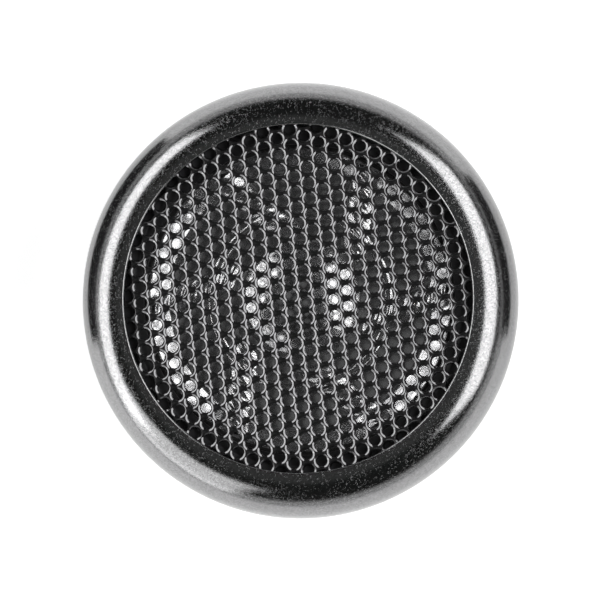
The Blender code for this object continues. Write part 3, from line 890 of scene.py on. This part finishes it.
def make_barrel(settings):
    """The threaded cup with its flange, the hole for the socket and the screw wells in its back."""
    top = top_of("threaded_barrel")
    flange = radius_of("threaded_barrel")
    flange_bottom = top - FLANGE_THICKNESS
    bevel = 0.6 * MM
    ease = 0.2 * MM
    inner_ring = 9.0 * MM
    thread_start = bevel + 0.5 * MM
    thread_end = flange_bottom - 0.9 * MM
    steps = 76
    rise = flange_bottom - bevel
    outline = [(0.0, 0.0), (inner_ring, 0.0), (BARREL_RADIUS - bevel, 0.0)]
    outline += arc((BARREL_RADIUS - bevel, bevel), bevel, -60, 0, 4)
    outline += [(BARREL_RADIUS, bevel + rise * step / steps) for step in range(1, steps)]
    outline += [(BARREL_RADIUS, flange_bottom)]
    outline += arc((flange - ease, flange_bottom + ease), ease, -90, 0, 3)
    outline += arc((flange - ease, top - ease), ease, 0, 90, 3)
    outline += [(BARREL_BORE, top), (BARREL_BORE, BARREL_FLOOR), (0.0, BARREL_FLOOR)]

    def shape(radius, height, turn):
        if abs(radius - BARREL_RADIUS) > TINY or height > flange_bottom - TINY:
            return radius, height
        fade = smooth(height, bevel, thread_start) * (1 - smooth(height, thread_end, flange_bottom))
        root = settings.thread_depth * (1 - thread_wave(height, turn, settings.thread_pitch))
        return radius - root * fade, height

    piece = revolve("barrel_shell", outline, 192, shape)
    low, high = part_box("connector_socket")
    margin = Vector((GAP, GAP, 0.0))
    hole_low = Vector((low[0], low[1], -2 * MM)) - margin
    hole_high = Vector((high[0], high[1], 2 * BARREL_FLOOR)) + margin
    cut(piece, box_mesh("socket_hole", hole_low, hole_high, 0.25 * MM))
    lead_in = 0.25 * MM
    below = -2 * MM
    for number, turn in enumerate(SCREW_ANGLES, 1):
        x, y, well, head_top = screw_place(number, turn)
        reach = well + GAP
        outline = [
            (0.0, below),
            (reach + lead_in, below),
            (reach + lead_in, 0.0),
            (reach, lead_in),
            (reach, head_top + GAP),
            (SCREW_SHAFT + GAP, head_top + GAP),
            (SCREW_SHAFT + GAP, 2 * BARREL_FLOOR),
            (0.0, 2 * BARREL_FLOOR),
        ]
        cut(piece, revolve("screw_well", outline, 48, centre=(x, y)))
    material = moulded_plastic("black_barrel_plastic", settings.plastic, 0.46)
    return dress(piece, material, HOUSING, "black_plastic", "threaded_barrel")


def screw_place(number, turn):
    """A screw's place, its head's radius and the height of its head's upper side."""
    node = "housing_screw_" + str(number)
    low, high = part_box(node)
    x = SCREW_CIRCLE * math.cos(math.radians(turn))
    y = SCREW_CIRCLE * math.sin(math.radians(turn))
    return x, y, (high[1] - low[1]) / 2, low[2] + SCREW_HEAD_HEIGHT


def make_screws():
    """Three screws with a crowned head, a cross recess and a threaded shaft."""
    steps = 60
    recess_low = Vector((-0.95, -0.19, -1.0)) * MM
    recess_high = Vector((0.95, 0.19, 0.5)) * MM
    recess_turn = 20
    for number, turn in enumerate(SCREW_ANGLES, 1):
        node = "housing_screw_" + str(number)
        x, y, head, head_top = screw_place(number, turn)
        low, high = bottom_of(node), top_of(node)
        rise = high - SCREW_SHAFT - head_top
        # The head's section is cut short where it runs on to the axis and to the shaft
        crown = eased([(head * 0.6, low), (head, low + 0.25 * MM), (head, head_top)], 0.12 * MM)
        outline = [(0.0, low)] + crown[3:-1] + [(SCREW_SHAFT, head_top)]
        outline += [(SCREW_SHAFT, head_top + rise * step / steps) for step in range(1, steps + 1)]
        outline += [(0.0, high)]

        def shape(radius, height, around):
            if abs(radius - SCREW_SHAFT) > TINY or height <= head_top + TINY:
                return radius, height
            fade = smooth(height, head_top, head_top + 0.5 * MM)
            root = (SCREW_SHAFT - SCREW_ROOT) * (1 - thread_wave(height, around, SCREW_PITCH))
            return radius - root * fade, height

        piece = revolve("screw_" + str(number), outline, 40, shape, centre=(x, y))
        for cross in range(2):
            arm = box_mesh("recess", recess_low, recess_high, 0.06 * MM)
            facing = Matrix.Rotation(math.radians(turn + 90 * cross + recess_turn), 4, "Z")
            arm.data.transform(Matrix.Translation((x, y, low)) @ facing)
            cut(piece, arm)
        dress(piece, turned_metal("zinc_steel", STEEL, 0.28), HOUSING, "steel", node)


def flat_ring(node, bore, ease, segments=160):
    """A ring, or with no bore a disc, as big as a CAD node and with eased edges."""
    corners = [
        (bore, bottom_of(node)),
        (radius_of(node), bottom_of(node)),
        (radius_of(node), top_of(node)),
        (bore, top_of(node)),
    ]
    return revolve(node + "_piece", eased(corners, ease), segments)


def make_clamp(settings, thread_pitch):
    """The foam gasket, the plated washer and the fluted nut."""
    gasket = flat_ring("panel_gasket", CLAMP_BORE, 0.18 * MM)
    dress(gasket, cellular_foam(FOAM), HOUSING, "foam", "panel_gasket")
    washer = flat_ring("pressure_washer", CLAMP_BORE, 0.14 * MM)
    dress(washer, turned_metal("zinc_steel", STEEL, 0.28), WASHER, "steel", "pressure_washer")

    low, high = bottom_of("clamp_nut"), top_of("clamp_nut")
    outer = radius_of("clamp_nut")
    centre = outer + settings.flute_radius / 2
    ease = 0.6 * MM
    lead_in = 0.4 * MM
    steps = 30
    drop = high - low - 2 * lead_in
    bore = [(CLAMP_BORE, high - lead_in - drop * step / steps) for step in range(steps + 1)]
    outline = arc((outer - ease, low + ease), ease, -90, 0, 5)
    outline += arc((outer - ease, high - ease), ease, 0, 90, 5)
    outline += [(CLAMP_BORE + lead_in, high)] + bore + [(CLAMP_BORE + lead_in, low)]
    shoulder = 0.86
    shoulder_start, shoulder_end = 0.70, 1.25

    def edge_at(turn):
        """The nut's outer radius at an angle, with soft shoulders beside each flute."""
        sector = math.tau / max(settings.flutes, 1)
        from_flute = (turn + sector / 2) % sector - sector / 2
        across = centre * math.sin(from_flute)
        reach = settings.flute_radius
        if not settings.flutes or abs(across) >= reach * shoulder_end:
            return outer
        if abs(across) < reach * shoulder:
            return min(outer, centre * math.cos(from_flute) - math.sqrt(reach**2 - across**2))
        start = centre * math.cos(math.asin(reach * shoulder / centre))
        start -= reach * math.sqrt(1 - shoulder**2)
        climb = smooth(abs(across), reach * shoulder_start, reach * shoulder_end)
        return min(outer, start + (outer - start) * climb)

    def shape(radius, height, turn):
        if radius > CLAMP_BORE + 0.5 * MM:
            return radius - (outer - edge_at(turn)), height
        if abs(radius - CLAMP_BORE) < TINY:
            fade = smooth(height - low, lead_in, 2 * lead_in) * smooth(high - height, lead_in, 2 * lead_in)
            return radius + lead_in * fade * thread_wave(height, turn, thread_pitch), height
        return radius, height

    nut = revolve("clamp_nut_piece", outline, 360, shape)
    material = moulded_plastic("black_nut_plastic", settings.plastic, 0.50)
    dress(nut, material, NUT, "black_plastic", "clamp_nut")


# ---------------------------------------------------------------- terminals


def make_terminals():
    """The socket in the barrel's back with its two flat blades."""
    low, high = (Vector(corner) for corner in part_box("connector_socket"))
    wall = Vector((SOCKET_WALL, SOCKET_WALL, 0.0))
    flare = Vector((0.2 * MM, 0.2 * MM, 0.0))
    clear = Vector((0.1 * MM, 0.1 * MM, 0.0))
    key_half = 0.8 * MM
    key_depth = 4.2 * MM
    mouth_depth = 0.35 * MM
    below = low.z - 1 * MM
    roof = high.z - SOCKET_WALL
    socket = box_mesh("socket_body", low, high, 0.25 * MM, 3)

    def hollow(name, start, end, bottom, top, bevel, segments=2):
        """Cuts a box out of the socket, from one corner to another across and between two heights."""
        cut(socket, box_mesh(name, (start.x, start.y, bottom), (end.x, end.y, top), bevel, segments))

    start, end = low + wall, high - wall
    hollow("cavity", start, end, below - 2 * MM, roof, 0.3 * MM, 3)
    hollow("mouth", start - flare, end + flare, below, low.z + mouth_depth, 0.15 * MM)
    key_start = Vector((-key_half, end.y - 0.1 * MM))
    key_end = Vector((key_half, high.y - 0.25 * MM))
    hollow("key", key_start, key_end, below, low.z + key_depth, 0.1 * MM)
    for node in ("negative_blade", "positive_blade"):
        blade_low, blade_high = (Vector(corner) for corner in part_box(node))
        bottom, top = roof - SOCKET_WALL, high.z + SOCKET_WALL
        hollow("slot", blade_low - clear, blade_high + clear, bottom, top, 0.03 * MM)
    material = moulded_plastic("grey_socket_plastic", (0.085, 0.085, 0.09), 0.44)
    dress(socket, material, HOUSING, "grey_plastic", "connector_socket")
    for node in ("negative_blade", "positive_blade"):
        make_blade(node)
    for node in ("positive_solder_tab", "negative_solder_tab"):
        dress_node(node, turned_metal("tinned_brass", TINNED, 0.30))


def make_blade(node):
    """A flat blade with a coined tip and a round locking hole."""
    low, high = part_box(node)
    middle = (low[0] + high[0]) / 2
    half = (high[0] - low[0]) / 2
    chamfer = half / 2
    outline = [
        (-half, high[2]),
        (-half, low[2] + chamfer),
        (-half + chamfer, low[2]),
        (half - chamfer, low[2]),
        (half, low[2] + chamfer),
        (half, high[2]),
    ]
    bm = bmesh.new()
    corners = [bm.verts.new((middle + across, low[1], up)) for across, up in outline]
    lifted = bmesh.ops.extrude_face_region(bm, geom=[bm.faces.new(corners)])
    moved = [item for item in lifted["geom"] if isinstance(item, bmesh.types.BMVert)]
    bmesh.ops.translate(bm, verts=moved, vec=(0.0, high[1] - low[1], 0.0))
    bmesh.ops.recalc_face_normals(bm, faces=bm.faces)
    bmesh.ops.bevel(bm, geom=bm.edges[:], offset=0.09 * MM, segments=2, affect="EDGES", profile=0.5)
    mesh = bpy.data.meshes.new(node + "_piece")
    bm.to_mesh(mesh)
    bm.free()
    blade = link(node + "_piece", mesh)
    reach = 2 * MM
    hole = revolve("hole", [(0.0, -reach), (BLADE_HOLE, -reach), (BLADE_HOLE, reach), (0.0, reach)], 32)
    place = Matrix.Translation((middle, (low[1] + high[1]) / 2, low[2] + 2 * half))
    hole.data.transform(place @ Matrix.Rotation(math.radians(90), 4, "X"))
    cut(blade, hole)
    dress(blade, turned_metal("tinned_brass", TINNED, 0.30), HOUSING, "terminals", node)


# ---------------------------------------------------------------- motor, rings and wiring


def make_motor():
    """The steel cup, the disc magnet, the pole plate, the felts and the voice coil."""
    steel = turned_metal("zinc_steel", STEEL, 0.28)
    nickel = turned_metal("nickel_plate", NICKEL, 0.20)
    felt = pressed_felt((0.30, 0.30, 0.29))
    low, top, outer = bottom_of("yoke_cup"), top_of("yoke_cup"), radius_of("yoke_cup")
    cup = [
        (0.0, low),
        (outer, low),
        (outer, top),
        (YOKE_BORE, top),
        (YOKE_BORE, low + YOKE_FLOOR),
        (0.0, low + YOKE_FLOOR),
    ]
    dress(revolve("yoke_cup_piece", eased(cup, 0.25 * MM), 128), steel, HOUSING, "steel", "yoke_cup")
    for node, material, slot, ease in (
        ("magnet_disc", nickel, "magnet", 0.30 * MM),
        ("pole_plate", steel, "steel", 0.15 * MM),
        ("dome_felt", felt, "felt", 0.12 * MM),
        ("rear_felt", felt, "felt", 0.25 * MM),
    ):
        dress(flat_ring(node, 0.0, ease, 128), material, HOUSING, slot, node)
    former = flat_ring("coil_former", FORMER_BORE, 0.04 * MM, 128)
    dress(former, amber_film((0.55, 0.28, 0.05)), COIL, "former", "coil_former")
    make_winding()


def make_winding():
    """The winding, with the crowns of its outer turns."""
    low, high = bottom_of("coil_winding"), top_of("coil_winding")
    outer = radius_of("coil_winding")
    turns = 16
    steps = 5
    wire = (high - low) / turns
    outline = [(WINDING_BORE, low), (WINDING_BORE, high)]
    for number in reversed(range(turns)):
        for step in reversed(range(steps)):
            share = (step + 0.5) / steps
            crown = math.sqrt(1 - (2 * share - 1) ** 2)
            outline.append((outer - wire / 2 * (1 - crown), low + wire * (number + share)))
    piece = revolve("coil_winding_piece", outline, 128)
    dress(piece, wound_copper(COPPER), COIL, "copper", "coil_winding")


def make_rings():
    """The chassis and the rings that hold the diaphragm's rim and the grille."""
    black = moulded_plastic("black_chassis_plastic", (0.02, 0.02, 0.022), 0.52)
    dress_node("chassis", black)
    ring = flat_ring("diaphragm_ring", RIM_RING_BORE, 0.12 * MM)
    grey = moulded_plastic("grey_ring_plastic", (0.10, 0.10, 0.105), 0.50)
    dress(ring, grey, HOUSING, "grey_plastic", "diaphragm_ring")
    foam = flat_ring("rim_foam", FOAM_BORE, 0.15 * MM)
    dress(foam, cellular_foam(FOAM), HOUSING, "foam", "rim_foam")
    low, high = bottom_of("grille_retainer"), top_of("grille_retainer")
    outer = radius_of("grille_retainer")
    inner = outer - RETAINER_WALL
    tongue = low + 0.7 * MM
    corners = [
        (inner, low),
        (outer, low),
        (outer, high),
        (inner, high),
        (RETAINER_TONGUE, tongue + 0.8 * MM),
        (RETAINER_TONGUE, tongue),
        (inner, tongue),
    ]
    retainer = revolve("retainer_piece", eased(corners, 0.12 * MM), 192)
    dress(retainer, black, HOUSING, "black_plastic", "grille_retainer")


def make_wiring():
    """Finishes for the capacitor, the wires and the coil's leads."""
    dress_node("crossover_capacitor", wire_sleeve("capacitor_sleeve", (0.03, 0.06, 0.20)))
    for node in ("positive_input_wire", "positive_output_wire"):
        dress_node(node, wire_sleeve("red_sleeve", (0.45, 0.02, 0.02)))
    dress_node("negative_wire", wire_sleeve("black_sleeve", (0.02, 0.02, 0.02)))
    for node in ("positive_coil_lead", "negative_coil_lead"):
        dress_node(node, wound_copper(COPPER))


# ---------------------------------------------------------------- stage

# Name, polar angle, azimuth, distance, size, radiance and roll, with the angles in degrees
SOFTBOXES = (
    ("left_softbox", 55, 172, 0.60, (0.27, 0.98), 3.9, -13),
    ("right_softbox", 43.5, 10, 0.60, (0.32, 0.78), 3.8, 0),
    ("low_left_softbox", 64, 228, 0.70, (0.53, 0.50), 2.0, 0),
)
# Name, azimuth in degrees, distance, width and height
CARDS = (
    ("left_flag", 160, 0.052, 0.060, 0.024),
    ("right_flag", 15, 0.072, 0.064, 0.030),
)


def direction(polar, azimuth):
    """A direction that leans away from straight up by polar, towards azimuth, both in degrees."""
    lean, turn = math.radians(polar), math.radians(azimuth)
    return Vector((math.sin(lean) * math.cos(turn), math.sin(lean) * math.sin(turn), math.cos(lean)))


def make_softbox(name, polar, azimuth, distance, size, radiance, roll):
    """A soft rectangular light that faces the tweeter, rolled by some degrees about that direction."""
    data = bpy.data.lights.new(name, "AREA")
    data.shape = "RECTANGLE"
    data.size, data.size_y = size
    data.energy = radiance * math.pi * size[0] * size[1]
    softbox = bpy.data.objects.new(name, data)
    bpy.context.scene.collection.objects.link(softbox)
    back = direction(polar, azimuth)
    side = Vector((0.0, 0.0, 1.0)).cross(back).normalized()
    upward = back.cross(side)
    turn = Matrix((-upward, side, back)).transposed().to_4x4()
    turn = turn @ Matrix.Rotation(math.radians(roll), 4, "Z")
    softbox.matrix_world = Matrix.Translation(back * distance) @ turn
    softbox.visible_camera = False


def make_flag(name, azimuth, distance, width, height):
    """A black card held just over the floor beside the tweeter, to draw a dark line down its edge."""
    back = direction(90, azimuth)
    place = Matrix.Translation(back * distance) @ Matrix.Rotation(math.radians(azimuth), 4, "Z")
    lift = 2 * MM
    thickness = 1 * MM
    card = box_mesh(name, (0.0, -width / 2, lift), (thickness, width / 2, height), 0.2 * MM)
    card.data.transform(place)
    finish = Finish("black_card", (0.012, 0.012, 0.012), 0.9)
    grain = finish.group("Fine Grain", Size=0.0005)
    finish.tone(grain.outputs["Height"], 0.3)
    card.data.materials.append(finish.material)
    card.visible_camera = False
    card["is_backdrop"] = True


def make_floor(settings):
    """A wide, round, flat floor that glows a little, so that shadows stay faint."""
    reach = 3.0
    rings = 12
    surface = -0.2 * MM
    underside = -10 * MM
    outline = [(0.0, surface)]
    outline += [(reach * (step / rings) ** 2, surface) for step in range(1, rings + 1)]
    outline += [(reach, underside), (0.0, underside)]
    floor = revolve("floor", outline, 96)
    finish = Finish("pale_floor", settings.floor, 0.6)
    finish.grained(size=2 * MM, variation=0.02, blur=0.0, depth=0.02 * MM)
    finish.shader.inputs["Specular IOR Level"].default_value = 0.15
    finish.shader.inputs["Emission Color"].default_value = (1.0, 1.0, 1.0, 1.0)
    finish.shader.inputs["Emission Strength"].default_value = settings.floor_glow
    floor.data.materials.append(finish.material)
    floor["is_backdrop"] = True


def make_world(settings):
    """A pale room near the floor, a dark one higher up and a grey patch straight overhead."""
    world = bpy.data.worlds.new("studio")
    world.use_nodes = True
    tree = world.node_tree
    place = tree.nodes.new("ShaderNodeTexCoord")
    parts = tree.nodes.new("ShaderNodeSeparateXYZ")
    tree.links.new(place.outputs["Generated"], parts.inputs[0])
    ramp = tree.nodes.new("ShaderNodeValToRGB")
    low, high, top = settings.sky_low, settings.sky_high, settings.sky_top
    stops = ramp.color_ramp.elements
    for number, (height, light) in enumerate(((0.20, low), (0.34, high), (0.88, high), (0.95, top))):
        stop = stops[number] if number < len(stops) else stops.new(height)
        stop.position = height
        stop.color = (light, light, light, 1.0)
    tree.links.new(parts.outputs["Z"], ramp.inputs["Fac"])
    tree.links.new(ramp.outputs["Color"], tree.nodes["Background"].inputs["Color"])
    bpy.context.scene.world = world


def make_camera(settings):
    """A long lens that looks down at the grille with a slight lean."""
    scene = bpy.context.scene
    data = bpy.data.cameras.new("camera")
    data.lens = settings.lens
    camera = bpy.data.objects.new("camera", data)
    scene.collection.objects.link(camera)
    low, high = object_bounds()
    aim_height = 15 * MM
    aim = Vector(((low.x + high.x) / 2, (low.y + high.y) / 2, aim_height))
    back = Vector((math.tan(settings.lean_x), -math.tan(settings.lean_y), 1.0)).normalized()
    side = Vector((0.0, 1.0, 0.0)).cross(back).normalized()
    turn = Matrix((side, back.cross(side), back)).transposed().to_4x4()
    distance = settings.frame_width * data.lens / data.sensor_width
    camera.matrix_world = Matrix.Translation(aim + back * distance) @ turn
    data.clip_start = distance / 100
    data.clip_end = 100.0
    scene.camera = camera


# ---------------------------------------------------------------- add-on


class TWEETER_OT_stage(bpy.types.Operator):
    """Lay the pale floor and set up the soft lights and the camera"""

    bl_idname = "tweeter.stage"
    bl_label = "Stage"

    def execute(self, context):
        settings = context.scene.tweeter_stage
        context.scene.view_settings.view_transform = "Standard"
        make_world(settings)
        make_floor(settings)
        for light in SOFTBOXES:
            make_softbox(*light)
        for card in CARDS:
            make_flag(*card)
        make_camera(settings)
        return {"FINISHED"}


class TWEETER_OT_bezel(bpy.types.Operator):
    """Turn the chrome bezel"""

    bl_idname = "tweeter.bezel"
    bl_label = "Bezel"

    def execute(self, context):
        make_bezel(context.scene.tweeter_bezel)
        return {"FINISHED"}


class TWEETER_OT_grille(bpy.types.Operator):
    """Punch and bow the grille"""

    bl_idname = "tweeter.grille"
    bl_label = "Grille"

    def execute(self, context):
        make_grille(context.scene.tweeter_grille)
        return {"FINISHED"}


class TWEETER_OT_diaphragm(bpy.types.Operator):
    """Press the dome and the ribbed surround"""

    bl_idname = "tweeter.diaphragm"
    bl_label = "Diaphragm"

    def execute(self, context):
        make_dome(context.scene.tweeter_diaphragm)
        make_surround(context.scene.tweeter_diaphragm)
        return {"FINISHED"}


class TWEETER_OT_barrel(bpy.types.Operator):
    """Mould the threaded barrel"""

    bl_idname = "tweeter.barrel"
    bl_label = "Barrel"

    def execute(self, context):
        make_barrel(context.scene.tweeter_barrel)
        return {"FINISHED"}


class TWEETER_OT_clamp(bpy.types.Operator):
    """Make the gasket, the washer and the fluted nut"""

    bl_idname = "tweeter.clamp"
    bl_label = "Clamp"

    def execute(self, context):
        make_clamp(context.scene.tweeter_clamp, context.scene.tweeter_barrel.thread_pitch)
        return {"FINISHED"}


class TWEETER_OT_terminals(bpy.types.Operator):
    """Make the connector socket and its blades"""

    bl_idname = "tweeter.terminals"
    bl_label = "Terminals"

    def execute(self, context):
        make_terminals()
        return {"FINISHED"}


class TWEETER_OT_screws(bpy.types.Operator):
    """Make the three housing screws"""

    bl_idname = "tweeter.screws"
    bl_label = "Screws"

    def execute(self, context):
        make_screws()
        return {"FINISHED"}


class TWEETER_OT_motor(bpy.types.Operator):
    """Make the magnet system and the voice coil"""

    bl_idname = "tweeter.motor"
    bl_label = "Motor"

    def execute(self, context):
        make_motor()
        return {"FINISHED"}


class TWEETER_OT_inside(bpy.types.Operator):
    """Make the holding rings and finish the chassis and the wiring"""

    bl_idname = "tweeter.inside"
    bl_label = "Rings and Wiring"

    def execute(self, context):
        make_rings()
        make_wiring()
        return {"FINISHED"}


class TWEETER_PT_panel(bpy.types.Panel):
    """The tweeter's settings and its building steps"""

    bl_label = "Car Tweeter"
    bl_space_type = "VIEW_3D"
    bl_region_type = "UI"
    bl_category = "Tweeter"

    def draw(self, context):
        for operator in OPERATORS:
            box = self.layout.box()
            box.operator(operator.bl_idname)
            settings = getattr(context.scene, operator.bl_idname.replace(".", "_"), None)
            if settings:
                for name in type(settings).__annotations__:
                    box.prop(settings, name)


SETTINGS = {
    "tweeter_stage": StageSettings,
    "tweeter_bezel": BezelSettings,
    "tweeter_grille": GrilleSettings,
    "tweeter_diaphragm": DiaphragmSettings,
    "tweeter_barrel": BarrelSettings,
    "tweeter_clamp": ClampSettings,
}
OPERATORS = (
    TWEETER_OT_stage,
    TWEETER_OT_bezel,
    TWEETER_OT_grille,
    TWEETER_OT_diaphragm,
    TWEETER_OT_barrel,
    TWEETER_OT_clamp,
    TWEETER_OT_terminals,
    TWEETER_OT_screws,
    TWEETER_OT_motor,
    TWEETER_OT_inside,
)


def register():
    for name, settings in SETTINGS.items():
        bpy.utils.register_class(settings)
        setattr(bpy.types.Scene, name, PointerProperty(type=settings))
    for operator in OPERATORS:
        bpy.utils.register_class(operator)
    bpy.utils.register_class(TWEETER_PT_panel)


def unregister():
    bpy.utils.unregister_class(TWEETER_PT_panel)
    for operator in reversed(OPERATORS):
        bpy.utils.unregister_class(operator)
    for name, settings in reversed(SETTINGS.items()):
        delattr(bpy.types.Scene, name)
        bpy.utils.unregister_class(settings)


def main():
    """Builds the tweeter step by step."""
    register()
    bpy.ops.tweeter.stage()
    bpy.ops.tweeter.bezel()
    bpy.ops.tweeter.grille()
    bpy.ops.tweeter.diaphragm()
    bpy.ops.tweeter.barrel()
    bpy.ops.tweeter.clamp()
    bpy.ops.tweeter.terminals()
    bpy.ops.tweeter.screws()
    bpy.ops.tweeter.motor()
    bpy.ops.tweeter.inside()


if __name__ == "__main__":
    main()
